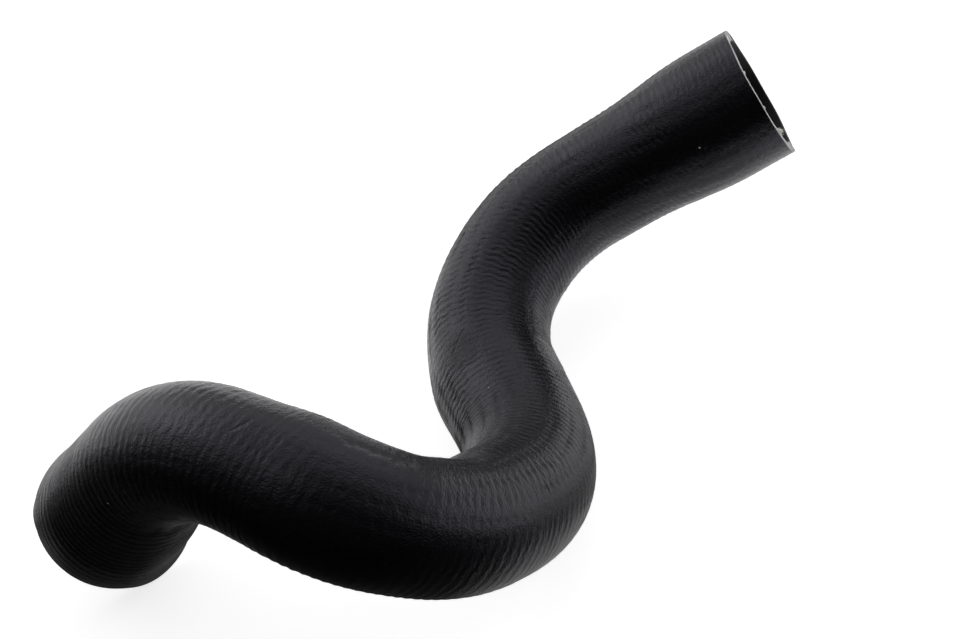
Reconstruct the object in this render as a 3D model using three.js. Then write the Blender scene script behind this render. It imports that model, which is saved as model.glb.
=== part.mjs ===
// Air intake hose for a car engine: one moulded rubber tube with six bends and two plain ends.
// Millimetres, +Z up. It lies as it comes to rest: on the straight stretch between its last two
// bends and on the lower edge of its large end. The small end faces +X.
// The origin is on that surface, below the middle of the hose's box.

import * as THREE from "three";

// Section, outside diameters
const BODY_DIAMETER = 53;
const LARGE_END_DIAMETER = 63;
const SMALL_END_DIAMETER = 60;
const WALL = 5;

// Plain ends, which seal on a pipe stub, and the tapers from them to the body
const LARGE_END_LENGTH = 25;
const LARGE_TAPER_LENGTH = 75;
const SMALL_END_LENGTH = 20;
const SMALL_TAPER_LENGTH = 48;

// Middle line, main sizes: how far it reaches over the surface, to the front and to the back
const LYING_HEIGHT = BODY_DIAMETER / 2;
const ARCH_HEIGHT = 114;
const FRONT_Y = -101;
const BACK_Y = 94;

// Middle line: its two ends, and the corners where its straight stretches would meet
const LARGE_END_AT = [-144.5, 4.5, 22.7];
const LARGE_END_CORNER = [-137, -20, 47.5];
const ARCH_TOP_CORNER = [-92, -50.5, ARCH_HEIGHT];
const ARCH_FRONT_CORNER = [-35.5, FRONT_Y, 99.5];
const ARCH_FOOT_CORNER = [-3, -92.5, 65.5];
const LYING_START_CORNER = [36, -48, LYING_HEIGHT];
const LYING_END_CORNER = [11.5, BACK_Y, LYING_HEIGHT];
const SMALL_END_AT = [165.5, BACK_Y, 80.5];

// Radii that round those corners
const LARGE_END_RADIUS = 49;
const ARCH_TOP_RADIUS = 72;
const ARCH_FRONT_RADIUS = 42;
const ARCH_FOOT_RADIUS = 84;
const LYING_START_RADIUS = 72;
const LYING_END_RADIUS = 66;

const CORNERS = [
  { at: LARGE_END_CORNER, radius: LARGE_END_RADIUS },
  { at: ARCH_TOP_CORNER, radius: ARCH_TOP_RADIUS },
  { at: ARCH_FRONT_CORNER, radius: ARCH_FRONT_RADIUS },
  { at: ARCH_FOOT_CORNER, radius: ARCH_FOOT_RADIUS },
  { at: LYING_START_CORNER, radius: LYING_START_RADIUS },
  { at: LYING_END_CORNER, radius: LYING_END_RADIUS },
];

// Fineness of the solid
const SIDES = 36;
const BEND_STEP = THREE.MathUtils.degToRad(7.5);
const TAPER_STEP = 9;

// A straight stretch of the middle line, from a point in a direction
function straightStretch(start, along, length) {
  return {
    length,
    steps: 1,
    turn: new THREE.Quaternion(),
    place: (distance) => start.clone().addScaledVector(along, distance),
    turned: () => new THREE.Quaternion(),
  };
}

// A bend of the middle line: an arc about a centre, which turns it about an axis
function bendStretch(start, centre, axis, angle, radius) {
  const turned = (distance) => new THREE.Quaternion().setFromAxisAngle(axis, distance / radius);
  return {
    length: radius * angle,
    steps: Math.ceil(angle / BEND_STEP),
    turn: turned(radius * angle),
    place: (distance) => start.clone().sub(centre).applyQuaternion(turned(distance)).add(centre),
    turned,
  };
}

// The middle line as stretches, each tangent to the next
function middleLine() {
  const corners = CORNERS.map((corner) => new THREE.Vector3(...corner.at));
  const points = [new THREE.Vector3(...LARGE_END_AT), ...corners, new THREE.Vector3(...SMALL_END_AT)];
  const stretches = [];
  let start = points[0];
  CORNERS.forEach(({ radius }, index) => {
    const corner = points[index + 1];
    const before = corner.clone().sub(points[index]).normalize();
    const after = points[index + 2].clone().sub(corner).normalize();
    const angle = before.angleTo(after);
    const axis = before.clone().cross(after).normalize();
    const bendStart = corner.clone().addScaledVector(before, -radius * Math.tan(angle / 2));
    const centre = bendStart.clone().addScaledVector(axis.clone().cross(before), radius);
    stretches.push(straightStretch(start, before, bendStart.distanceTo(start)));
    const bend = bendStretch(bendStart, centre, axis, angle, radius);
    stretches.push(bend);
    start = bend.place(bend.length);
  });
  const end = points[points.length - 1];
  const last = end.clone().sub(start);
  stretches.push(straightStretch(start, last.clone().normalize(), last.length()));
  return stretches;
}

// Each stretch with the distance at which it starts and the frame that it starts in.
// The frame's Y runs along the hose, and it turns only with the bends, so the tube never twists.
function framedLine(stretches) {
  const first = stretches[0];
  const along = first.place(first.length).sub(first.place(0)).normalize();
  let frame = new THREE.Quaternion().setFromUnitVectors(new THREE.Vector3(0, 1, 0), along);
  let from = 0;
  return stretches.map((stretch) => {
    const framed = { ...stretch, from, frame };
    frame = stretch.turn.clone().multiply(frame);
    from += stretch.length;
    return framed;
  });
}

// Share of a taper that is done at a distance into it: it starts and ends gently
function eased(distance, length) {
  const share = THREE.MathUtils.clamp(distance / length, 0, 1);
  return (1 - Math.cos(Math.PI * share)) / 2;
}

// Outside radius at a distance along the hose from its large end
function outsideRadius(distance, hoseLength) {
  const large = 1 - eased(distance - LARGE_END_LENGTH, LARGE_TAPER_LENGTH);
  const small = 1 - eased(hoseLength - SMALL_END_LENGTH - distance, SMALL_TAPER_LENGTH);
  const body = BODY_DIAMETER / 2;
  return body + large * (LARGE_END_DIAMETER / 2 - body) + small * (SMALL_END_DIAMETER / 2 - body);
}

// Distances at which the tube has a ring of corners: along the bends and down both tapers
function ringDistances(line, hoseLength) {
  const distances = [0, hoseLength];
  for (const { from, length, steps } of line) {
    for (let step = 0; step < steps; step += 1) {
      distances.push(from + (length * step) / steps);
    }
  }
  const tapers = [
    [LARGE_END_LENGTH, LARGE_TAPER_LENGTH],
    [hoseLength - SMALL_END_LENGTH - SMALL_TAPER_LENGTH, SMALL_TAPER_LENGTH],
  ];
  for (const [start, length] of tapers) {
    const steps = Math.ceil(length / TAPER_STEP);
    for (let step = 0; step <= steps; step += 1) {
      distances.push(start + (length * step) / steps);
    }
  }
  distances.sort((a, b) => a - b);
  const closest = TAPER_STEP / 4;
  return distances.filter((distance, index) => {
    const isEnd = index === 0 || index === distances.length - 1;
    const clearOfEnd = distance > closest && distance < hoseLength - closest;
    return isEnd || (clearOfEnd && distance - distances[index - 1] > closest);
  });
}

// The hose before it is bent: a straight tube along +Y whose section is outside, end, bore, end
function straightTube(distances, hoseLength) {
  const outside = distances.map((y) => new THREE.Vector2(outsideRadius(y, hoseLength), y));
  const bore = outside.map(({ x, y }) => new THREE.Vector2(x - WALL, y)).reverse();
  return new THREE.LatheGeometry([...outside, ...bore, outside[0].clone()], SIDES);
}

// Carries each corner of the straight tube to its place beside the middle line
function bend(geometry, line) {
  const position = geometry.getAttribute("position");
  for (let index = 0; index < position.count; index += 1) {
    const across = new THREE.Vector3().fromBufferAttribute(position, index);
    const distance = across.y;
    const stretch = line.findLast(({ from }) => distance >= from) ?? line[0];
    const into = distance - stretch.from;
    across.y = 0;
    across.applyQuaternion(stretch.frame).applyQuaternion(stretch.turned(into));
    across.add(stretch.place(into));
    position.setXYZ(index, across.x, across.y, across.z);
  }
  geometry.computeVertexNormals();
  return geometry;
}

const rubber = new THREE.MeshStandardMaterial({ color: 0x1d1d1f, roughness: 0.5, metalness: 0 });

const line = framedLine(middleLine());
const hoseLength = line.reduce((sum, { length }) => sum + length, 0);
const tube = straightTube(ringDistances(line, hoseLength), hoseLength);
const hose = new THREE.Mesh(bend(tube, line), rubber);
hose.name = "intake_hose";

// Stands the hose on the surface, with the origin below the middle of its box
const box = new THREE.Box3().setFromObject(hose);
const middle = box.getCenter(new THREE.Vector3());
hose.position.set(-middle.x, -middle.y, -box.min.z);

const part = new THREE.Group();
part.name = "air_intake_hose";
part.add(hose);

export default part;
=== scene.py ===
"""Air intake hose: a moulded rubber tube, ribbed by its knitted reinforcement, on a white table."""

import math
from typing import NamedTuple

import bmesh
import bpy
import numpy as np
from bpy.props import FloatProperty, FloatVectorProperty, IntProperty, PointerProperty
from mathutils import Matrix, Quaternion, Vector


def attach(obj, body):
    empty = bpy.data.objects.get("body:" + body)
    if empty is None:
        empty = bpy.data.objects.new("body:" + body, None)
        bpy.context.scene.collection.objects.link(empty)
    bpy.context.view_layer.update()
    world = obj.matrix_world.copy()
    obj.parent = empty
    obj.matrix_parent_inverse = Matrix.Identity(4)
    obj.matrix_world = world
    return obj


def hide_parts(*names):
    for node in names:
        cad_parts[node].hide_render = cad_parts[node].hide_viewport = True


bl_info = {
    "name": "Air intake hose",
    "version": (1, 0, 0),
    "blender": (4, 5, 0),
    "location": "3D View > Sidebar > Intake hose",
    "description": "Builds a moulded rubber intake hose and the table that it lies on",
    "category": "Add Mesh",
}

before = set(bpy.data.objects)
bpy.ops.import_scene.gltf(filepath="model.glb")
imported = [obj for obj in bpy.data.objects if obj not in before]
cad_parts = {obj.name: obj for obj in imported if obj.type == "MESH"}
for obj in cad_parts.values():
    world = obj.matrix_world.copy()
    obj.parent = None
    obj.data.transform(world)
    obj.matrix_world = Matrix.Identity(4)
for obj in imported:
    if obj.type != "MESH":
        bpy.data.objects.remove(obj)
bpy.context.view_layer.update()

MM = 0.001
NODE = "intake_hose"
BODY = "root"

# The hose's section, as in the solid: outside diameters, the wall, plain ends and the tapers behind them
BODY_DIAMETER = 53 * MM
LARGE_END_DIAMETER = 63 * MM
SMALL_END_DIAMETER = 60 * MM
WALL = 5 * MM
LARGE_END_LENGTH = 25 * MM
LARGE_TAPER_LENGTH = 75 * MM
SMALL_END_LENGTH = 20 * MM
SMALL_TAPER_LENGTH = 48 * MM

# The middle line, as in the solid, in millimetres: its ends, and its corners with their rounding radius
LYING_HEIGHT = 26.5
BACK_Y = 94
LARGE_END_AT = (-144.5, 4.5, 22.7)
CORNERS = (
    ((-137, -20, 47.5), 49),
    ((-92, -50.5, 114), 72),
    ((-35.5, -101, 99.5), 42),
    ((-3, -92.5, 65.5), 84),
    ((36, -48, LYING_HEIGHT), 72),
    ((11.5, BACK_Y, LYING_HEIGHT), 66),
)
SMALL_END_AT = (165.5, BACK_Y, 80.5)

# From the middle line's own coordinates to the frame, whose origin is below the middle of the hose's box
TO_FRAME = np.array((-0.066, 0.015, 0)) * MM

# The knit's courses, which show as ribs round the hose: distance along the hose from the large end in
# millimetres, how many courses there are up to it, and how many courses they lean, towards 0 and 90 degrees
COURSES = (
    (0, 0, 0, 0),
    (15, 5, 0.1, 0.8),
    (35, 11.2, -0.2, 1.15),
    (65, 20, 1.1, 1.0),
    (110, 32, 0.9, 0.45),
    (150, 43, 0.6, -0.3),
    (190, 54.8, 0.8, -0.65),
    (225, 64.2, 1.4, -0.9),
    (260, 72.9, 1.95, -1.05),
    (290, 81.2, 2.25, -1.3),
    (320, 90.5, 2.4, -1.45),
    (345, 98.7, 2.45, -1.4),
    (370, 106.4, 2.35, -1.1),
    (395, 113.4, 2.3, -0.65),
    (425, 122, 2.2, -0.1),
    (455, 130.6, 2.05, 0.4),
    (480, 137.8, 1.85, 0.4),
    (515, 148.5, 1.5, -0.5),
    (545, 157.5, 0.8, -0.8),
    (563, 163, 0, 0),
)

# All the ribs, the rings of faces to each rib outside, the ribs to each ring of faces in the bore, and how
# far from an end, in ribs, the first ring is that follows the ribs
RIBS = COURSES[-1][1]
RINGS_PER_RIB = 4
RIBS_PER_BORE_RING = 3
RIBBED_FROM = 0.01

# How the knit shows through the skin, by distance along the hose in millimetres: the height of the ribs, the
# size of their even waves and uneven waves, and the depth of the stitches, as shares of the strongest
KNIT = (
    (0, 0.65, 0.1, 0.05, 0.0),
    (60, 0.6, 0.15, 0.1, 0.0),
    (95, 0.38, 0.35, 0.5, 0.2),
    (130, 0.27, 0.45, 0.6, 0.4),
    (170, 0.22, 0.35, 0.5, 0.5),
    (200, 0.17, 0.35, 0.35, 0.8),
    (230, 0.17, 0.35, 0.35, 1.0),
    (300, 0.25, 0.4, 0.3, 0.8),
    (330, 0.42, 0.7, 0.4, 0.5),
    (400, 0.5, 1.0, 0.5, 0.4),
    (450, 0.5, 1.0, 0.5, 0.4),
    (480, 0.35, 0.7, 0.6, 0.5),
    (563, 0.2, 0.4, 0.6, 0.4),
)

# The section of a rib: a wave, the share of one half as long that narrows its crest, and what divides both
RIB_NARROWING = 0.25
RIB_DIVISOR = 1.1

# The even waves of a rib lean over: the share of a wave half as long, and how far ahead of them it is
WAVE_LEAN = 0.35
WAVE_LEAN_AHEAD = 1

# How narrow a stitch's pit is round the hose and along it, as powers of the waves that shape it
PIT_NARROWNESS_AROUND = 3
PIT_NARROWNESS_ALONG = 2

# Smooth random patterns over the hose: about how far a high of each is from a low, and the seed of its draws
WALE_DRIFT = (60 * MM, 1)
PATCHES = (16 * MM, 2)
STRAYS = (5 * MM, 3)
FINE_PATCHES = (5 * MM, 6)

# How far the first of them turns a wale's wave, and by which share, between which limits, the patches change
# the relief
WALE_DRIFT_TURN = 2
PATCHINESS = 0.35
PATCH_LIMITS = (0.3, 1.7)
FINE_PATCHINESS = 0.5
FINE_PATCH_LIMITS = (0.2, 1.8)

# In every table of spots on the skin, a row starts with the spot's distance along the hose in millimetres,
# its place round it in degrees, and its reach in millimetres

# Where the tube isn't quite round, from being pushed over its bent mandrel, and how far the skin stands out
SWELLS = (
    (4, -80, 16, 2.0),
    (8, -109, 14, -2.2),
    (8, -77, 12, 1.2),
    (8, -30, 20, -1.9),
    (10, -22, 45, -1.1),
    (14, 40, 12, 1.5),
    (20, 80, 14, 0.9),
    (35, -82, 35, 0.9),
    (40, 56, 14, -0.6),
    (52, -98, 16, -1.4),
    (60, 74, 14, 0.9),
    (76, -106, 16, -0.4),
    (95, -124, 14, -0.3),
    (131, 12, 14, -0.7),
    (143, -148, 16, -0.8),
    (148, -172, 14, -0.9),
    (168, -161, 16, 1.3),
    (186, -12, 22, 0.7),
    (212, -176, 14, -1.0),
    (215, -25, 18, -0.5),
    (240, 176, 12, -1.6),
    (292, -97, 20, 0.5),
    (355, -108, 18, 0.6),
    (360, 84, 14, 1.1),
    (378, -92, 24, 0.8),
    (382, 98, 18, -0.9),
    (422, 134, 20, -0.5),
    (473, 120, 18, -0.8),
)

# The rubbed place near the foot of the last bend, and the millimetres round its middle that are fully rough
RUBBED_SPOT = (364, 155, 13)
RUBBED_CORE = 5

# Where the ribs are lower, and by which share. Below 0 they are higher. The stitches show in neither case
RIB_CHANGES = (
    (*RUBBED_SPOT, 0.7),
    (192, -175, 17, 0.75),
    (160, -14, 25, -1.0),
    (195, -18, 22, -1.2),
    (228, -42, 22, -1.2),
    (262, -64, 22, -1.0),
)

# Dents in the skin, and how deep they are
DENTS = (
    (180.5, -139, 1.6, 0.8),
    (184.2, -141, 1.7, 0.85),
    (188, -139.5, 1.8, 0.9),
    (191.8, -141, 1.7, 0.9),
    (195.4, -138, 1.8, 0.9),
    (199.3, -140.5, 1.7, 0.7),
    (223, -133, 1.5, 0.25),
    (226.8, -130.5, 1.5, 0.2),
    (360.8, 146.8, 1.3, 0.25),
    (357.6, 143, 1.2, 0.2),
    (355.2, 149.5, 1.3, 0.25),
    (353, 154.5, 1.2, 0.2),
)

# Specks of dust, with their radius as their reach, and the shares of it between which a speck fades out
DUST = (
    (531.4, -137.5, 0.45),
    (91.7, -31.5, 0.3),
    (336.2, 162, 0.35),
)
DUST_FADES_FROM = 0.5
DUST_FADES_TO = 1.3

# Fine creases in the skin, from spot to spot: distance along the hose and degrees round it; and their reach
CREASES = (
    ((373, 164), (368.5, 155)),
    ((368.5, 155), (364, 145)),
    ((149.3, -103.5), (151.6, -117.2)),
)
CREASE_REACH = 1 * MM

# How far a cut's unevenness reaches into the hose, the length and the number of its waves, and its seeds
CUT_REACH = 6 * MM
CUT_WAVE = 12 * MM
CUT_WAVE_COUNT = 12
LARGE_CUT_SEED = 4
SMALL_CUT_SEED = 5

# Points that the knife left at the small end: degrees round the hose, reach and height in millimetres
SMALL_END_POINTS = ((-58, 5, 0.5), (116, 4, 0.3))

# The side of the cut ends that is painted dark as shade, in degrees round the hose, and the distances
# towards that side between which this painted shade comes in over the cut's own pale colour
CUT_SHADE_AROUND = 25
CUT_SHADE_FROM = -6 * MM
CUT_SHADE_TO = 8 * MM

# Where the ply stands further out of a cut end, or less far: degrees round the hose, reach and height in
# millimetres. Loose yarn ends stick out of each end's first spot
SMALL_END_FRAYS = ((-110, 1.6, 1.8), (-175, 0.6, 0.5), (-139, 0.8, 0.6), (25, 42, -0.7))
LARGE_END_FRAYS = ((60, 1.5, 0.9), (-150, 1.2, 0.4), (170, 30, -0.5))

# The ply's edge: how deep it is rooted, faces round it to each of the hose's, the share by which its fringe
# changes and the fringe's width, how far it wanders across the wall and over what length, and the seeds
PLY_ROOT = 1 * MM
PLY_FACES = 3
FRINGE_SHARE = 0.3
FRINGE_WIDTH = 1.6 * MM
PLY_WANDER = 0.12 * MM
PLY_WANDER_WAVE = 4 * MM
LARGE_PLY_SEED = 11
SMALL_PLY_SEED = 21

# Loose yarn ends: how many and how far apart, the range of their lengths in millimetres, the share of one
# that its middle stands out, how far they lean, the sides of one, and the radius of its root and tip
YARN_ENDS = 14
YARN_SPREAD = 1.0 * MM
YARN_LENGTHS = (1.6, 3.0)
YARN_MIDDLE = 0.35
YARN_LEAN = 0.3
YARN_SIDES = 5
YARN_ROOT_RADIUS = 0.12 * MM
YARN_TIP_RADIUS = 0.05 * MM

# The attribute that keeps a piece's place on the straight hose, and the hose's materials in their order
STRAIGHT = "straight"
SKIN, CUT, BORE = range(3)

# The shares of a cut's rounded edges that belong to the bore and to the skin
BORE_EDGE_SHARE = 1 / 8
SKIN_EDGE_SHARE = 1 / 4

# The camera: where it stands in millimetres, the directions that are right and down in its picture, its lens
# and sensor in millimetres, and the nearest that it sees in metres
CAMERA_AT = (43.2, -583.0, 619.2)
CAMERA_RIGHT = (0.9666, -0.1577, -0.2021)
CAMERA_DOWN = (-0.2554, -0.6605, -0.7060)
CAMERA_LENS = 75
SENSOR_WIDTH = 36
NEAREST_SEEN = 0.01


def linear(hex_colour):
    """A colour written as sRGB hex, as the linear numbers that Blender's colours hold."""
    shares = [int(hex_colour[at : at + 2], 16) / 255 for at in (1, 3, 5)]
    return tuple(c / 12.92 if c <= 0.04045 else ((c + 0.055) / 1.055) ** 2.4 for c in shares)


def length(name, description, default):
    """A length that a user can change."""
    return FloatProperty(
        name=name, description=description, default=default, unit="LENGTH", subtype="DISTANCE"
    )


def share(name, description, default):
    """A share that a user can change, from 0 to 1."""
    return FloatProperty(
        name=name, description=description, default=default, min=0, max=1, subtype="FACTOR"
    )


def colour(name, description, default):
    """A colour that a user can change, from its sRGB hex value."""
    return FloatVectorProperty(
        name=name, description=description, default=linear(default), subtype="COLOR", size=3, min=0, max=1
    )


def strength(name, description, default):
    """A light's strength that a user can change."""
    return FloatProperty(name=name, description=description, default=default, min=0)


class HoseSurface(bpy.types.PropertyGroup):
    """The relief that the knitted reinforcement leaves in the hose's skin"""

    sides: IntProperty(name="Sides", description="Number of faces round the hose", default=128, min=24)
    rib_height: length("Rib height", "Height of the strongest ribs over their valleys", 0.5 * MM)
    wales: IntProperty(name="Wales", description="Stitches of the knit round the hose", default=22)
    wave_shift: length("Wave shift", "How far the strongest even waves carry a rib", 0.5 * MM)
    wave_stray: length("Wave stray", "How far the strongest uneven waves carry a rib", 0.7 * MM)
    stitch_depth: length("Stitch depth", "How much deeper a valley is where a stitch draws it in", 0.7 * MM)
    grain: length("Grain", "Width of the skin's fine grain", 0.7 * MM)
    grain_depth: length("Grain depth", "Depth of the skin's fine grain", 0.23 * MM)
    crease_depth: length("Crease depth", "Depth of the fine creases in the skin", 0.22 * MM)
    edge: length("Edge rounding", "Rounding of the edges of the cut ends", 0.2 * MM)
    cut_unevenness: length("Cut unevenness", "How far the knife strayed along the hose", 0.12 * MM)
    ply_thickness: length("Ply thickness", "Thickness of the knitted ply in the wall", 0.6 * MM)
    ply_stand: length("Ply stand", "How far the knitted ply stands out of a cut end", 0.12 * MM)


class HoseFinish(bpy.types.PropertyGroup):
    """The colours and the gloss of the hose's rubber, and of its knitted ply where it is cut"""

    skin_colour: colour("Skin colour", "Moulded rubber outside", "#09090b")
    gloss_colour: colour("Gloss colour", "Tint of the light that the rubber reflects", "#f0eeff")
    bore_colour: colour("Bore colour", "Rubber inside", "#050506")
    cut_colour: colour("Cut colour", "Rubber that the knife tore and left pale", "#f2f2f2")
    # Painted shade on one side of the cut ends
    cut_shade_colour: colour("Cut shade colour", "Painted shade on one side of the cut ends", "#1a1a1b")
    ply_colour: colour("Ply colour", "Yarn of the reinforcement at the cut ends", "#fafaf2")
    dust_colour: colour("Dust colour", "Specks of dust on the skin", "#c6c8cc")
    skin_roughness: share("Skin roughness", "Roughness of the outside", 0.24)
    mottling: share("Mottling", "How much the skin's roughness changes from place to place", 0.07)
    bore_roughness: share("Bore roughness", "Roughness of the inside", 0.62)
    cut_roughness: share("Cut roughness", "Roughness of the cut ends", 0.75)
    yarn_roughness: share("Yarn roughness", "Roughness of the ply's yarn", 0.85)


class Studio(bpy.types.PropertyGroup):
    """The table that the hose lies on, and the light over it"""

    table_colour: colour("Table colour", "The white table", "#e8e8e8")
    # The net's colour is painted shade, seen only in the hose's reflections of the table
    net_colour: colour("Net colour", "The black net that dims the gloss", "#0a0a0a")
    table_lift: share("Table lift", "Extra light that the background's rays see on the table", 0.78)
    light_level: strength("Light level", "Strength of all soft lamps together", 0.95)
    side_light: strength("Side light", "Strength of the diffuse light at the right", 2.1)


class Stretch(NamedTuple):
    """A stretch of the middle line, straight or an arc, and the frame that it starts in."""

    since: float
    start: Vector
    turn: Quaternion
    along: Vector
    length: float
    centre: Vector = None
    axis: Vector = None
    radius: float = None

    def carry(self, straight):
        """Where points beside the straight hose go when this stretch is bent."""
        into = straight[:, 1] - self.since
        across = straight * np.array([1.0, 0.0, 1.0])
        beside = across @ np.array(self.turn.to_matrix()).T + np.array(self.start)
        if self.radius is None:
            return beside + into[:, None] * np.array(self.along)
        centre = np.array(self.centre)
        axis = np.array(self.axis)
        arm = beside - centre
        angle = (into / self.radius)[:, None]
        kept = (arm @ axis)[:, None] * axis
        return centre + kept + (arm - kept) * np.cos(angle) + np.cross(axis, arm) * np.sin(angle)


def middle_line():
    """The middle line as stretches, each tangent to the next. The frame turns only with the bends."""
    points = [Vector(at) * MM for at in (LARGE_END_AT, *(at for at, _ in CORNERS), SMALL_END_AT)]
    start = points[0]
    since = 0.0
    turn = Vector((0, 1, 0)).rotation_difference(points[1] - points[0])
    stretches = []
    for index, (_, radius) in enumerate(CORNERS):
        radius *= MM
        corner = points[index + 1]
        before = (corner - points[index]).normalized()
        after = (points[index + 2] - corner).normalized()
        angle = before.angle(after)
        axis = before.cross(after).normalized()
        bend_start = corner - before * radius * math.tan(angle / 2)
        straight = (bend_start - start).length
        stretches.append(Stretch(since, start, turn, before, straight))
        since += straight
        centre = bend_start + axis.cross(before) * radius
        stretches.append(Stretch(since, bend_start, turn, before, radius * angle, centre, axis, radius))
        since += radius * angle
        bend = Matrix.Rotation(angle, 3, axis)
        start = centre + bend @ (bend_start - centre)
        turn = bend.to_quaternion() @ turn
    last = points[-1] - start
    stretches.append(Stretch(since, start, turn, last.normalized(), last.length))
    return stretches


LINE = middle_line()
HOSE_LENGTH = sum(stretch.length for stretch in LINE)


def bent(straight):
    """Where points beside the straight hose go when it is bent along its middle line."""
    placed = LINE[0].carry(straight)
    for stretch in LINE[1:]:
        here = straight[:, 1] >= stretch.since
        placed[here] = stretch.carry(straight[here])
    return placed + TO_FRAME


def eased(distance, taper_length):
    """Share of a taper that is done at a distance into it: it starts and ends gently."""
    done = np.clip(distance / taper_length, 0, 1)
    return (1 - np.cos(np.pi * done)) / 2


def outside_radius(distance):
    """Outside radius at distances along the hose from its large end."""
    large = 1 - eased(distance - LARGE_END_LENGTH, LARGE_TAPER_LENGTH)
    small = 1 - eased(HOSE_LENGTH - SMALL_END_LENGTH - distance, SMALL_TAPER_LENGTH)
    body = BODY_DIAMETER / 2
    return body + large * (LARGE_END_DIAMETER / 2 - body) + small * (SMALL_END_DIAMETER / 2 - body)


def unevenness(along, around, spacing, seed, waves=24):
    """Smooth random values over the skin, mostly from -1 to 1, with about the spacing from high to low."""
    draw = np.random.default_rng(seed)
    girth = math.pi * BODY_DIAMETER
    total = 0
    for _ in range(waves):
        heading = draw.uniform(0, 2 * math.pi)
        turns = round(math.cos(heading) * girth / (2 * spacing))
        pace = math.pi * math.sin(heading) / spacing
        total = total + np.sin(turns * around + pace * along + draw.uniform(0, 2 * math.pi))
    return total / math.sqrt(waves)


def near_spot(along, around, spot_along, spot_around, reach):
    """1 at a spot of the skin, given in millimetres and degrees, falling smoothly to 0 beyond its reach."""
    turn = (around - math.radians(spot_around) + math.pi) % (2 * math.pi) - math.pi
    away = np.hypot(along - spot_along * MM, turn * BODY_DIAMETER / 2) / (reach * MM)
    return np.exp(-(away**2))


def spots_height(spots, along, around):
    """How far a table's spots raise the skin together."""
    total = 0
    for *spot, height in spots:
        total = total + height * MM * near_spot(along, around, *spot)
    return total


def spot_on_skin(spot_along, spot_around):
    """A spot of the straight hose's skin, from its millimetres along the hose and its degrees round it."""
    radius = float(outside_radius(spot_along * MM))
    turn = math.radians(spot_around)
    return Vector((radius * math.sin(turn), spot_along * MM, radius * math.cos(turn)))


def along_courses(course, around):
    """How far along the hose its courses run, as shares of its length. They are evenly spaced in number but
    not in distance, and they lean, which a few rounds follow closely enough."""
    since, count, up, side = np.array(COURSES).T
    along = np.interp(course, count, since)
    for _ in range(3):
        lean = np.interp(along, since, up) * np.cos(around) + np.interp(along, since, side) * np.sin(around)
        along = np.interp(course - lean, count, since)
    return along / since[-1]


def rib_boldness(along, around):
    """How high the ribs are beside their usual height, and how far the stitches show, where that changes."""
    bold = 1
    for *spot, missing in RIB_CHANGES:
        bold = bold * (1 - missing * near_spot(along, around, *spot))
    return bold, np.clip(bold, 0, 1) * np.clip(2 - bold, 0, 1)


def knit_relief(along, around, course, surface):
    """How far the skin rises and sinks over the knit, and how far each rib strays along the hose."""
    since, *shares = np.array(KNIT).T
    ribs, waves, strays, stitches = (np.interp(along / MM, since, column) for column in shares)
    crest = (np.cos(2 * np.pi * course) + RIB_NARROWING * np.cos(4 * np.pi * course)) / RIB_DIVISOR
    valley = np.clip((1 - crest) / 2, 0, 1)
    wale = surface.wales * around + WALE_DRIFT_TURN * unevenness(along, 0, *WALE_DRIFT)
    patches = PATCHINESS * unevenness(along, around, *PATCHES)
    fine_patches = FINE_PATCHINESS * strays * unevenness(along, around, *FINE_PATCHES)
    shown = np.clip(1 + patches, *PATCH_LIMITS) * np.clip(1 + fine_patches, *FINE_PATCH_LIMITS)
    bold, drawn_in = rib_boldness(along, around)
    pit = np.clip(np.cos(wale), 0, 1) ** PIT_NARROWNESS_AROUND * valley**PIT_NARROWNESS_ALONG
    stitch = surface.stitch_depth * stitches * drawn_in * pit
    rise = shown * (surface.rib_height * ribs * bold * crest / 2 - stitch)
    even = surface.wave_shift * waves * (np.sin(wale) + WAVE_LEAN * np.sin(2 * wale + WAVE_LEAN_AHEAD))
    uneven = surface.wave_stray * strays * unevenness(along, around, *STRAYS)
    return rise, even + uneven


def knife_stray(along, around, surface):
    """How far each cut end's uneven edge carries the points near it along the hose."""
    at_large_end = np.clip(1 - np.abs(along) / CUT_REACH, 0, 1)
    at_small_end = np.clip(1 - np.abs(along - HOSE_LENGTH) / CUT_REACH, 0, 1)
    stray = 0
    for nearness, seed in ((at_large_end, LARGE_CUT_SEED), (at_small_end, SMALL_CUT_SEED)):
        waves = unevenness(0, around, CUT_WAVE, seed, CUT_WAVE_COUNT)
        stray = stray + nearness * surface.cut_unevenness * waves
    for spot_around, reach, height in SMALL_END_POINTS:
        stray = stray + at_small_end * height * MM * near_spot(0, around, 0, spot_around, reach)
    return stray


# Patterns of the materials: mottling, faint threads of the ply with their squeeze along each axis and their
# depth beside the grain's, waves in the bore, tears in the cut, and fibres of the yarn. A real hose's grain,
# tears and fibres are too fine to show, so they are drawn coarser
MOTTLE_SIZE = 9 * MM
THREAD_SPACING = 3 * MM
THREAD_SQUEEZE = (1, 2, 1)
THREAD_DEPTH_SHARE = 1.2
BORE_WAVE_SIZE = 6 * MM
BORE_WAVE_DEPTH = 0.15 * MM
TEAR_SIZE = 0.8 * MM
TEAR_DEPTH = 0.2 * MM
FIBRE_SIZE = 0.5 * MM
FIBRE_DEPTH = 0.2 * MM

# How much deeper the grain is in the rubbed place, the values between which soft noise mostly stays, and how
# strongly cured rubber bends light
RUBBED_GRAIN_SHARE = 1.2
NOISE_LOW = 0.3
NOISE_HIGH = 0.7
RUBBER_IOR = 1.52

WHITE = (1, 1, 1, 1)


def add_node(tree, kind, output, inputs=None, **settings):
    """Adds a node with its settings, gives each of its inputs a value or a link, and returns one output."""
    made = tree.nodes.new(kind)
    for name, value in settings.items():
        setattr(made, name, value)
    for socket, value in (inputs or {}).items():
        if isinstance(value, bpy.types.NodeSocket):
            tree.links.new(value, made.inputs[socket])
        else:
            made.inputs[socket].default_value = value
    return made.outputs[output] if output else None


def new_material(name):
    """An empty node material, and its tree."""
    material = bpy.data.materials.new(name)
    material.use_nodes = True
    material.node_tree.nodes.clear()
    return material, material.node_tree


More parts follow.
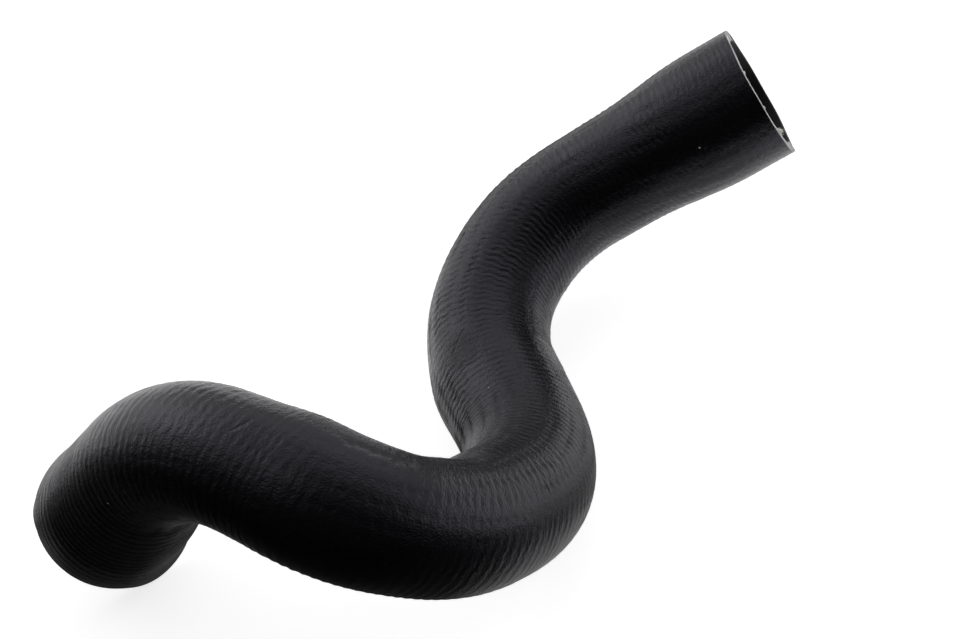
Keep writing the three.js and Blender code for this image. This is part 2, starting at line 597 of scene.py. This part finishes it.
def spot_mask(tree, place, spot, core, reach):
    """1 within the core round a spot, falling softly to 0 at its reach."""
    away = add_node(tree, "ShaderNodeVectorMath", "Value", {0: place, 1: spot}, operation="DISTANCE")
    inputs = {"Value": away, "From Min": core, "From Max": reach, "To Min": 1.0, "To Max": 0.0}
    return add_node(tree, "ShaderNodeMapRange", "Result", inputs, interpolation_type="SMOOTHSTEP")


def line_mask(tree, place, start, end, reach):
    """1 on the straight line between two spots, falling softly to 0 at its reach."""
    stretch = end - start
    scaled = stretch / stretch.length_squared
    into = add_node(tree, "ShaderNodeVectorMath", "Vector", {0: place, 1: start}, operation="SUBTRACT")
    along = add_node(tree, "ShaderNodeVectorMath", "Value", {0: into, 1: scaled}, operation="DOT_PRODUCT")
    between = add_node(tree, "ShaderNodeClamp", "Result", {"Value": along})
    nearest = add_node(
        tree, "ShaderNodeVectorMath", "Vector", {0: stretch, "Scale": between}, operation="SCALE"
    )
    return spot_mask(tree, into, nearest, 0, reach)


def skin_relief(tree, place, rubbed, surface):
    """The skin's fine relief: grain, deeper where it is rubbed, faint threads of the ply, and creases."""
    depth = surface.grain_depth
    inputs = {"Vector": place, "Scale": 1 / surface.grain, "Detail": 2}
    grain = add_node(tree, "ShaderNodeTexNoise", "Fac", inputs)
    inputs = {0: rubbed, 1: RUBBED_GRAIN_SHARE * depth, 2: depth}
    grain_depth = add_node(tree, "ShaderNodeMath", "Value", inputs, operation="MULTIPLY_ADD")
    fine = add_node(tree, "ShaderNodeMath", "Value", {0: grain, 1: grain_depth}, operation="MULTIPLY")
    inputs = {0: place, 1: THREAD_SQUEEZE}
    squeezed = add_node(tree, "ShaderNodeVectorMath", "Vector", inputs, operation="MULTIPLY")
    inputs = {"Vector": squeezed, "Scale": 1 / THREAD_SPACING, "Detail": 2}
    threads = add_node(tree, "ShaderNodeTexNoise", "Fac", inputs)
    inputs = {0: threads, 1: THREAD_DEPTH_SHARE * depth, 2: fine}
    height = add_node(tree, "ShaderNodeMath", "Value", inputs, operation="MULTIPLY_ADD")
    for start, end in CREASES:
        crease = line_mask(tree, place, spot_on_skin(*start), spot_on_skin(*end), CREASE_REACH)
        inputs = {0: crease, 1: -surface.crease_depth, 2: height}
        height = add_node(tree, "ShaderNodeMath", "Value", inputs, operation="MULTIPLY_ADD")
    return add_node(tree, "ShaderNodeBump", "Normal", {"Height": height, "Strength": 1.0, "Distance": 1.0})


def skin_rubber(surface, finish):
    """Moulded EPDM rubber: near black, satin and grained, mottled by mould release that stayed on it. Its
    gloss is faintly blue. One place is rubbed rough, and a few specks of dust lie on the skin."""
    material, tree = new_material("moulded_epdm_skin")
    place = add_node(tree, "ShaderNodeAttribute", "Vector", attribute_name=STRAIGHT)
    *rubbed_at, rubbed_reach = RUBBED_SPOT
    rubbed = spot_mask(tree, place, spot_on_skin(*rubbed_at), RUBBED_CORE * MM, rubbed_reach * MM)

    inputs = {"Vector": place, "Scale": 1 / MOTTLE_SIZE, "Detail": 4}
    mottle = add_node(tree, "ShaderNodeTexNoise", "Fac", inputs)
    inputs = {
        "Value": mottle,
        "From Min": NOISE_LOW,
        "From Max": NOISE_HIGH,
        "To Min": finish.skin_roughness - finish.mottling / 2,
        "To Max": finish.skin_roughness + finish.mottling / 2,
    }
    rough = add_node(tree, "ShaderNodeMapRange", "Result", inputs)
    inputs = {0: rubbed, 1: finish.mottling, 2: rough}
    rougher = add_node(tree, "ShaderNodeMath", "Value", inputs, operation="MULTIPLY_ADD")

    skin = (*finish.skin_colour, 1)
    for *speck_at, radius in DUST:
        fades_from, fades_to = radius * MM * DUST_FADES_FROM, radius * MM * DUST_FADES_TO
        dusty = spot_mask(tree, place, spot_on_skin(*speck_at), fades_from, fades_to)
        inputs = {"Factor": dusty, "A": skin, "B": (*finish.dust_colour, 1)}
        skin = add_node(tree, "ShaderNodeMix", "Result", inputs, data_type="RGBA")
    inputs = {
        "Base Color": skin,
        "Roughness": rougher,
        "IOR": RUBBER_IOR,
        "Specular Tint": (*finish.gloss_colour, 1),
        "Normal": skin_relief(tree, place, rubbed, surface),
    }
    shader = add_node(tree, "ShaderNodeBsdfPrincipled", "BSDF", inputs)
    add_node(tree, "ShaderNodeOutputMaterial", None, {"Surface": shader})
    return material


def add_uneven_surface(tree, base, roughness, height, depth):
    """Ends a material with a surface of one roughness that a pattern of heights makes uneven."""
    bump = add_node(tree, "ShaderNodeBump", "Normal", {"Height": height, "Strength": 1.0, "Distance": depth})
    inputs = {"Base Color": base, "Roughness": roughness, "Normal": bump}
    shader = add_node(tree, "ShaderNodeBsdfPrincipled", "BSDF", inputs)
    add_node(tree, "ShaderNodeOutputMaterial", None, {"Surface": shader})


def bore_rubber(finish):
    """Extruded NBR rubber of the bore: near black, smooth from its mandrel, with faint waves of gloss."""
    material, tree = new_material("extruded_nbr_bore")
    place = add_node(tree, "ShaderNodeAttribute", "Vector", attribute_name=STRAIGHT)
    inputs = {"Vector": place, "Scale": 1 / BORE_WAVE_SIZE, "Detail": 3}
    waves = add_node(tree, "ShaderNodeTexNoise", "Fac", inputs)
    add_uneven_surface(tree, (*finish.bore_colour, 1), finish.bore_roughness, waves, BORE_WAVE_DEPTH)
    return material


def cut_rubber(finish):
    """Rubber that a knife went through: torn, pale and dull, and painted dark as shade on one side of each
    end.
    """
    material, tree = new_material("knife_cut_rubber")
    place = add_node(tree, "ShaderNodeAttribute", "Vector", attribute_name=STRAIGHT)
    # Painted shade: the cut is darkened towards one side of each end, where its rim lies in shade
    turn = math.radians(CUT_SHADE_AROUND)
    side = (math.sin(turn), 0, math.cos(turn))
    towards = add_node(tree, "ShaderNodeVectorMath", "Value", {0: place, 1: side}, operation="DOT_PRODUCT")
    inputs = {"Value": towards, "From Min": CUT_SHADE_FROM, "From Max": CUT_SHADE_TO}
    painted_shade = add_node(tree, "ShaderNodeMapRange", "Result", inputs, interpolation_type="SMOOTHSTEP")
    inputs = {"Vector": place, "Scale": 1 / TEAR_SIZE, "Detail": 4}
    torn = add_node(tree, "ShaderNodeTexNoise", "Fac", inputs)
    tone_and_shade = add_node(tree, "ShaderNodeMath", "Value", {0: torn, 1: painted_shade}, operation="MAXIMUM")
    inputs = {"Factor": tone_and_shade, "A": (*finish.cut_colour, 1), "B": (*finish.cut_shade_colour, 1)}
    base = add_node(tree, "ShaderNodeMix", "Result", inputs, data_type="RGBA")
    add_uneven_surface(tree, base, finish.cut_roughness, torn, TEAR_DEPTH)
    return material


def ply_yarn(finish):
    """Spun polyester yarn: off-white, matt and fibrous."""
    material, tree = new_material("polyester_yarn")
    place = add_node(tree, "ShaderNodeAttribute", "Vector", attribute_name=STRAIGHT)
    inputs = {"Vector": place, "Scale": 1 / FIBRE_SIZE, "Detail": 3}
    fibres = add_node(tree, "ShaderNodeTexNoise", "Fac", inputs)
    add_uneven_surface(tree, (*finish.ply_colour, 1), finish.yarn_roughness, fibres, FIBRE_DEPTH)
    return material


def read_points(mesh):
    """The vertices of a mesh as rows of numbers."""
    points = np.empty(len(mesh.vertices) * 3)
    mesh.vertices.foreach_get("co", points)
    return points.reshape(-1, 3)


def write_points(mesh, points):
    """Moves the vertices of a mesh."""
    mesh.vertices.foreach_set("co", points.ravel())
    mesh.update()


def around_axis(points):
    """Distance along the Y axis, radius from it and turn round it, for each point."""
    return points[:, 1], np.hypot(points[:, 0], points[:, 2]), np.arctan2(points[:, 0], points[:, 2])


def at_axis(along, radius, around):
    """Points from their distance along the Y axis, radius from it and turn round it."""
    return np.column_stack([radius * np.sin(around), along, radius * np.cos(around)])


def closed_section(corners, rounding):
    """A closed outline beside the Y axis, through rounded corners given as radius and distance along."""
    section = bmesh.new()
    points = [section.verts.new((radius, along, 0)) for radius, along in corners]
    for here, there in zip(points, points[1:] + points[:1]):
        section.edges.new((here, there))
    bmesh.ops.bevel(
        section, geom=points, offset=rounding, segments=2, profile=0.5, affect="VERTICES", material=-1
    )
    return section


def spin_section(section, sides):
    """Spins a closed section all the way round the Y axis."""
    bmesh.ops.spin(
        section,
        geom=section.verts[:] + section.edges[:],
        cent=(0, 0, 0),
        axis=(0, 1, 0),
        angle=2 * math.pi,
        steps=sides,
        use_merge=True,
    )
    bmesh.ops.recalc_face_normals(section, faces=section.faces[:])


def mesh_from(shape, name, materials):
    """A mesh with its materials from a bmesh, which is freed."""
    mesh = bpy.data.meshes.new(name)
    shape.to_mesh(mesh)
    shape.free()
    for material in materials:
        mesh.materials.append(material)
    return mesh


def bend_into_place(mesh, straight):
    """Keeps a straight mesh's coordinates for its materials, and bends it along the middle line. Where it
    lies on the table, its ribs are pressed flat."""
    kept = mesh.attributes.new(STRAIGHT, "FLOAT_VECTOR", "POINT")
    kept.data.foreach_set("vector", straight.ravel())
    placed = bent(straight)
    placed[:, 2] = np.maximum(placed[:, 2], 0)
    write_points(mesh, placed)


def hose_tube(surface):
    """The straight hose: its wall's section spun round, fine enough outside to carry the ribs."""
    outside = BODY_DIAMETER / 2
    bore = outside - WALL
    corners = ((bore, 0), (outside, 0), (outside, HOSE_LENGTH), (bore, HOSE_LENGTH))
    tube = closed_section(corners, surface.edge)
    for edge in [edge for edge in tube.edges if edge.calc_length() > HOSE_LENGTH / 2]:
        is_outside = edge.verts[0].co.x > (outside + bore) / 2
        rings = RINGS_PER_RIB * RIBS if is_outside else RIBS // RIBS_PER_BORE_RING
        bmesh.ops.subdivide_edges(tube, edges=[edge], cuts=rings - 1)
    spin_section(tube, surface.sides)
    return tube


def set_face_materials(mesh, points, surface):
    """Gives each face of the plain tube the bore's or the cut's material. All others keep the skin's."""
    radius = around_axis(points)[1]
    outside = BODY_DIAMETER / 2
    for face in mesh.polygons:
        middle = radius[list(face.vertices)].mean()
        if middle < outside - WALL + surface.edge * BORE_EDGE_SHARE:
            face.material_index = BORE
        elif middle < outside - surface.edge * SKIN_EDGE_SHARE:
            face.material_index = CUT


def hose_shape(points, surface):
    """The straight hose with its tapers, swells, relief and uneven cuts, from the plain tube's points."""
    along, radius, around = around_axis(points)
    body = BODY_DIAMETER / 2
    is_skin = radius > body - surface.edge / 2
    between_edges = HOSE_LENGTH - 2 * surface.edge
    course = (along - surface.edge) / between_edges * RIBS
    to_nearer_end = np.minimum(course, RIBS - course)
    is_ribbed = is_skin & (to_nearer_end > RIBBED_FROM)
    along = np.where(is_ribbed, surface.edge + between_edges * along_courses(course, around), along)
    fade = np.clip(to_nearer_end, 0, 1) * is_ribbed
    rise, sway = knit_relief(along, around, course, surface)
    rise = (rise - spots_height(DENTS, along, around)) * fade
    new_radius = radius + outside_radius(along) - body + spots_height(SWELLS, along, around) + rise
    new_along = along + sway * fade + knife_stray(along, around, surface)
    return at_axis(new_along, new_radius, around)


class OBJECT_OT_add_intake_hose(bpy.types.Operator):
    """Builds the hose: a ribbed rubber tube with a bore, bent along its middle line"""

    bl_idname = "object.add_intake_hose"
    bl_label = "Add intake hose"

    def execute(self, context):
        surface = context.scene.hose_surface
        finish = context.scene.hose_finish
        materials = {SKIN: skin_rubber(surface, finish), CUT: cut_rubber(finish), BORE: bore_rubber(finish)}
        mesh = mesh_from(hose_tube(surface), "hose", materials.values())
        plain = read_points(mesh)
        set_face_materials(mesh, plain, surface)
        bend_into_place(mesh, hose_shape(plain, surface))
        mesh.shade_smooth()
        hose = bpy.data.objects.new("hose", mesh)
        context.scene.collection.objects.link(hose)
        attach(hose, BODY)
        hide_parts(NODE)
        return {"FINISHED"}


def ply_ring(end, outward, surface):
    """The knitted ply's edge at a cut end: a thin ring in the middle of the wall, rooted a little in it."""
    middle = float(outside_radius(end)) - WALL / 2
    half = surface.ply_thickness / 2
    root = end - outward * PLY_ROOT
    tip = end + outward * surface.ply_stand
    corners = ((middle - half, root), (middle + half, root), (middle + half, tip), (middle - half, tip))
    ring = closed_section(corners, half / 2)
    spin_section(ring, PLY_FACES * surface.sides)
    return ring


def ply_shape(points, end, outward, frays, seed):
    """The ply's ring with its top edge fringed, and further out or in where it frayed."""
    along, radius, around = around_axis(points)
    stand = (along - end) * outward
    level = 1 + FRINGE_SHARE * unevenness(0, around, FRINGE_WIDTH, seed)
    for spot_around, reach, height in frays:
        level = level + height * MM / stand.max() * near_spot(0, around, 0, spot_around, reach)
    fringed = np.where(stand > 0, stand * level, stand)
    wander = PLY_WANDER * unevenness(0, around, PLY_WANDER_WAVE, seed + 1)
    return at_axis(end + outward * fringed, radius + wander, around)


def add_yarn_ends(ply, end, outward, spot_around, seed):
    """Thin loose yarn ends that stick out of the ply round a spot of a cut end."""
    draw = np.random.default_rng(seed)
    middle = float(outside_radius(end)) - WALL / 2
    for _ in range(YARN_ENDS):
        turn = math.radians(spot_around) + draw.normal(0, YARN_SPREAD) / middle
        yarn_length = draw.uniform(*YARN_LENGTHS) * MM
        root = Vector((middle * math.sin(turn), end, middle * math.cos(turn)))
        lean = Vector((draw.normal(0, YARN_LEAN), outward, draw.normal(0, YARN_LEAN))).normalized()
        upright_to_lean = lean.to_track_quat("Z", "Y").to_matrix().to_4x4()
        bmesh.ops.create_cone(
            ply,
            cap_ends=True,
            segments=YARN_SIDES,
            radius1=YARN_ROOT_RADIUS,
            radius2=YARN_TIP_RADIUS,
            depth=yarn_length,
            matrix=Matrix.Translation(root + lean * yarn_length * YARN_MIDDLE) @ upright_to_lean,
        )


class OBJECT_OT_add_ply_edges(bpy.types.Operator):
    """Builds the edge of the knitted ply that shows as a pale line in both cut ends"""

    bl_idname = "object.add_ply_edges"
    bl_label = "Add ply edges"

    def execute(self, context):
        surface = context.scene.hose_surface
        yarn = ply_yarn(context.scene.hose_finish)
        ends = (
            ("large_end_ply", 0.0, -1, LARGE_END_FRAYS, LARGE_PLY_SEED),
            ("small_end_ply", HOSE_LENGTH, 1, SMALL_END_FRAYS, SMALL_PLY_SEED),
        )
        for name, end, outward, frays, seed in ends:
            mesh = mesh_from(ply_ring(end, outward, surface), name, (yarn,))
            write_points(mesh, ply_shape(read_points(mesh), end, outward, frays, seed))
            frayed = bmesh.new()
            frayed.from_mesh(mesh)
            add_yarn_ends(frayed, end, outward, frays[0][0], seed)
            frayed.to_mesh(mesh)
            frayed.free()
            bend_into_place(mesh, read_points(mesh))
            mesh.shade_smooth()
            ply = bpy.data.objects.new(name, mesh)
            context.scene.collection.objects.link(ply)
            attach(ply, BODY)
        return {"FINISHED"}


# The table, and the ball round it that carries the softboxes: radius in metres and fineness of each, and the
# light of the room between the softboxes
TABLE_RADIUS = 4.0
TABLE_SIDES = 64
SURROUND_RADIUS = 10.0
SURROUND_FINENESS = 3
ROOM_LIGHT = 0.022

# Softboxes: azimuth from the back towards the right, elevation and half width in degrees, and strength
LAMPS = (
    (-40, 29, 21, 1.53),
    (38, 39, 33, 0.86),
    (97, 9, 19, 0.5),
    (-89, 68, 18, 0.51),
)

# The diffuse light at the right, which the gloss doesn't see: azimuth and elevation in degrees, and metres
SIDE_LIGHT_AZIMUTH = 95
SIDE_LIGHT_ELEVATION = 25
SIDE_LIGHT_DISTANCE = 2.0
SIDE_LIGHT_RADIUS = 0.9
SIDE_LIGHT_SIDES = 32

# The black net over the table, which only the hose's gloss sees, paints shade into its reflections of the
# table. It is open behind NET_START and grows denser from there towards NET_AZIMUTH, over NET_FADE. Of the
# light that this lets through, one share passes left of NET_LEFT_TO and another right of NET_RIGHT_FROM
NET_HEIGHT = 0.2 * MM
NET_AZIMUTH = -155
NET_START = -60 * MM
NET_FADE = 54 * MM
NET_LEFT_TO = -30 * MM
NET_RIGHT_FROM = 110 * MM
NET_LEFT_SHARE = 0.88
NET_RIGHT_SHARE = 0.83

# Painted shadows of the hose on the table, seen only in its gloss, where the net is denser: place in
# millimetres, its core and reach, and the share of light that it stops
NET_PAINTED_SHADOWS = (
    ((65, 270), 50, 190, 0.9),
    ((130, 15), 30, 100, 0.4),
)

# Gaps of the net: place in millimetres, their core and reach, and the share of light that passes
NET_GAPS = (
    ((40, -72), 15, 75, 0.5),
    ((-45, 45), 15, 60, 0.65),
    ((-215, 95), 25, 70, 0.9),
    ((-215, 15), 10, 65, 0.12),
    ((-115, -15), 10, 50, 0.2),
)


def direction(azimuth, elevation):
    """A direction from the hose, by degrees from the back towards the right and by degrees upward."""
    across, up = math.radians(azimuth), math.radians(elevation)
    return Vector((math.sin(across) * math.cos(up), math.cos(across) * math.cos(up), math.sin(up)))


def background_rays(tree):
    """1 for the rays that should see the white background: camera, glossy and transmission rays."""
    total = add_node(tree, "ShaderNodeLightPath", "Is Camera Ray")
    for name in ("Is Glossy Ray", "Is Transmission Ray"):
        ray = add_node(tree, "ShaderNodeLightPath", name)
        total = add_node(tree, "ShaderNodeMath", "Value", {0: total, 1: ray}, operation="MAXIMUM")
    return total


def softbox_light(studio):
    """Softboxes far round the table, each bright in its middle and fading to its edge."""
    material, tree = new_material("softbox_light")
    place = add_node(tree, "ShaderNodeTexCoord", "Object")
    towards = add_node(tree, "ShaderNodeVectorMath", "Vector", {0: place}, operation="NORMALIZE")
    total = ROOM_LIGHT
    for azimuth, elevation, half_width, brightness in LAMPS:
        sharpness = math.log(2) / (1 - math.cos(math.radians(half_width)))
        inputs = {0: towards, 1: direction(azimuth, elevation)}
        near = add_node(tree, "ShaderNodeVectorMath", "Value", inputs, operation="DOT_PRODUCT")
        inputs = {0: near, 1: sharpness, 2: -sharpness}
        power = add_node(tree, "ShaderNodeMath", "Value", inputs, operation="MULTIPLY_ADD")
        falloff = add_node(tree, "ShaderNodeMath", "Value", {0: power}, operation="EXPONENT")
        inputs = {0: falloff, 1: brightness * studio.light_level, 2: total}
        total = add_node(tree, "ShaderNodeMath", "Value", inputs, operation="MULTIPLY_ADD")
    light = add_node(tree, "ShaderNodeEmission", "Emission", {"Color": WHITE, "Strength": total})
    add_node(tree, "ShaderNodeOutputMaterial", None, {"Surface": light})
    return material


def side_light(studio):
    """A plain white cloth, lit evenly from behind."""
    material, tree = new_material("side_light")
    power = studio.side_light * studio.light_level
    light = add_node(tree, "ShaderNodeEmission", "Emission", {"Color": WHITE, "Strength": power})
    add_node(tree, "ShaderNodeOutputMaterial", None, {"Surface": light})
    return material


def table_top(studio):
    """White laminate: matt and even. The background's rays see it brighter, white up to the shadow."""
    material, tree = new_material("white_laminate")
    matt = add_node(tree, "ShaderNodeBsdfDiffuse", "BSDF", {"Color": (*studio.table_colour, 1)})
    rays = background_rays(tree)
    lift = add_node(tree, "ShaderNodeMath", "Value", {0: rays, 1: studio.table_lift}, operation="MULTIPLY")
    glow = add_node(tree, "ShaderNodeEmission", "Emission", {"Color": WHITE, "Strength": lift})
    both = add_node(tree, "ShaderNodeAddShader", "Shader", {0: matt, 1: glow})
    add_node(tree, "ShaderNodeOutputMaterial", None, {"Surface": both})
    return material


def net_spot(tree, place, spot, core, reach):
    """1 within the core round a spot of the net, given in millimetres, falling softly to 0 at its reach."""
    right, back = spot
    return spot_mask(tree, place, (right * MM, back * MM, NET_HEIGHT), core * MM, reach * MM)


def reflection_shade_net(studio):
    """Black net seen only by the gloss: painted shade in the reflections, more where it is denser."""
    material, tree = new_material("reflection_shade_net")
    place = add_node(tree, "ShaderNodeTexCoord", "Object")
    forward = direction(NET_AZIMUTH, 0)
    ahead = add_node(tree, "ShaderNodeVectorMath", "Value", {0: place, 1: forward}, operation="DOT_PRODUCT")
    inputs = {0: ahead, 1: -1 / NET_FADE, 2: NET_START / NET_FADE}
    power = add_node(tree, "ShaderNodeMath", "Value", inputs, operation="MULTIPLY_ADD")
    thinned = add_node(tree, "ShaderNodeMath", "Value", {0: power}, operation="EXPONENT", use_clamp=True)
    inputs = {0: place, 1: (1, 0, 0)}
    rightward = add_node(tree, "ShaderNodeVectorMath", "Value", inputs, operation="DOT_PRODUCT")
    inputs = {
        "Value": rightward,
        "From Min": NET_LEFT_TO,
        "From Max": NET_RIGHT_FROM,
        "To Min": NET_LEFT_SHARE,
        "To Max": NET_RIGHT_SHARE,
    }
    side_share = add_node(tree, "ShaderNodeMapRange", "Result", inputs, interpolation_type="SMOOTHSTEP")
    passed = add_node(tree, "ShaderNodeMath", "Value", {0: thinned, 1: side_share}, operation="MULTIPLY")
    # Painted shadow: the hose's own shadow on the table, darkened into its reflections
    for *spot, stopped in NET_PAINTED_SHADOWS:
        painted_shadow = net_spot(tree, place, *spot)
        remains = add_node(
            tree, "ShaderNodeMath", "Value", {0: painted_shadow, 1: -stopped, 2: 1.0}, operation="MULTIPLY_ADD"
        )
        passed = add_node(tree, "ShaderNodeMath", "Value", {0: passed, 1: remains}, operation="MULTIPLY")
    for *spot, let_through in NET_GAPS:
        gap = net_spot(tree, place, *spot)
        opened = add_node(tree, "ShaderNodeMath", "Value", {0: gap, 1: let_through}, operation="MULTIPLY")
        passed = add_node(tree, "ShaderNodeMath", "Value", {0: passed, 1: opened}, operation="MAXIMUM")
    clear = add_node(tree, "ShaderNodeBsdfTransparent", "BSDF")
    black = add_node(tree, "ShaderNodeBsdfDiffuse", "BSDF", {"Color": (*studio.net_colour, 1)})
    mixed = add_node(tree, "ShaderNodeMixShader", "Shader", {0: passed, 1: black, 2: clear})
    add_node(tree, "ShaderNodeOutputMaterial", None, {"Surface": mixed})
    return material


def white_room():
    """A world that is white for the background's rays and gives no light of its own."""
    world = bpy.data.worlds.new("white_room")
    world.use_nodes = True
    tree = world.node_tree
    tree.nodes.clear()
    inputs = {"Color": WHITE, "Strength": background_rays(tree)}
    room = add_node(tree, "ShaderNodeBackground", "Background", inputs)
    add_node(tree, "ShaderNodeOutputWorld", None, {"Surface": room})
    return world


def round_sheet(height):
    """A flat round sheet as large as the table, at a height."""
    sheet = bmesh.new()
    bmesh.ops.create_circle(sheet, cap_ends=True, segments=TABLE_SIDES, radius=TABLE_RADIUS)
    bmesh.ops.translate(sheet, verts=sheet.verts[:], vec=(0, 0, height))
    return sheet


def surround_ball():
    """A ball round the table."""
    ball = bmesh.new()
    bmesh.ops.create_icosphere(ball, subdivisions=SURROUND_FINENESS, radius=SURROUND_RADIUS)
    return ball


def side_cloth():
    """A round cloth at the right that faces the hose."""
    towards = direction(SIDE_LIGHT_AZIMUTH, SIDE_LIGHT_ELEVATION)
    turn = towards.to_track_quat("Z", "Y").to_matrix().to_4x4()
    cloth = bmesh.new()
    bmesh.ops.create_circle(
        cloth,
        cap_ends=True,
        segments=SIDE_LIGHT_SIDES,
        radius=SIDE_LIGHT_RADIUS,
        matrix=Matrix.Translation(towards * SIDE_LIGHT_DISTANCE) @ turn,
    )
    return cloth


def add_stage_piece(context, name, shape, material, hidden_from=()):
    """Adds an object that isn't part of the hose, from a bmesh, hidden from some kinds of rays."""
    piece = bpy.data.objects.new(name, mesh_from(shape, name, (material,)))
    context.scene.collection.objects.link(piece)
    for rays in hidden_from:
        setattr(piece, f"visible_{rays}", False)


def add_camera(context):
    """The camera, looking down on the hose."""
    right = Vector(CAMERA_RIGHT).normalized()
    forward = right.cross(Vector(CAMERA_DOWN)).normalized()
    up = right.cross(forward)
    lens = bpy.data.cameras.new("camera")
    lens.lens = CAMERA_LENS
    lens.sensor_width = SENSOR_WIDTH
    lens.clip_start = NEAREST_SEEN
    camera = bpy.data.objects.new("camera", lens)
    turn = Matrix((right, up, -forward)).transposed().to_4x4()
    camera.matrix_world = Matrix.Translation(Vector(CAMERA_AT) * MM) @ turn
    context.scene.collection.objects.link(camera)
    context.scene.camera = camera


class SCENE_OT_add_studio(bpy.types.Operator):
    """Adds the white table, the soft light round it and the camera"""

    bl_idname = "scene.add_studio"
    bl_label = "Add studio"

    def execute(self, context):
        studio = context.scene.studio
        add_stage_piece(context, "table", round_sheet(0), table_top(studio))
        add_stage_piece(context, "softboxes", surround_ball(), softbox_light(studio), ("camera",))
        unseen = ("camera", "glossy", "shadow")
        add_stage_piece(context, "side_light", side_cloth(), side_light(studio), unseen)
        unseen = ("camera", "diffuse", "transmission", "shadow")
        add_stage_piece(context, "reflection_shade_net", round_sheet(NET_HEIGHT), reflection_shade_net(studio), unseen)
        context.scene.world = white_room()
        context.scene.view_settings.view_transform = "Standard"
        add_camera(context)
        return {"FINISHED"}


class VIEW3D_PT_intake_hose(bpy.types.Panel):
    """Lists the hose's sizes and finishes, and the steps that build it"""

    bl_label = "Intake hose"
    bl_idname = "VIEW3D_PT_intake_hose"
    bl_space_type = "VIEW_3D"
    bl_region_type = "UI"
    bl_category = "Intake hose"

    def draw(self, context):
        for name in GROUPS:
            group = getattr(context.scene, name)
            box = self.layout.box()
            for value in group.__annotations__:
                box.prop(group, value)
        for step in STEPS:
            self.layout.operator(step.bl_idname)


GROUPS = {"hose_surface": HoseSurface, "hose_finish": HoseFinish, "studio": Studio}
STEPS = (OBJECT_OT_add_intake_hose, OBJECT_OT_add_ply_edges, SCENE_OT_add_studio)


def register():
    for name, group in GROUPS.items():
        bpy.utils.register_class(group)
        setattr(bpy.types.Scene, name, PointerProperty(type=group))
    for step in STEPS:
        bpy.utils.register_class(step)
    bpy.utils.register_class(VIEW3D_PT_intake_hose)


def unregister():
    bpy.utils.unregister_class(VIEW3D_PT_intake_hose)
    for step in reversed(STEPS):
        bpy.utils.unregister_class(step)
    for name, group in reversed(GROUPS.items()):
        delattr(bpy.types.Scene, name)
        bpy.utils.unregister_class(group)


def main():
    register()
    bpy.ops.object.add_intake_hose()
    bpy.ops.object.add_ply_edges()
    bpy.ops.scene.add_studio()


if __name__ == "__main__":
    main()
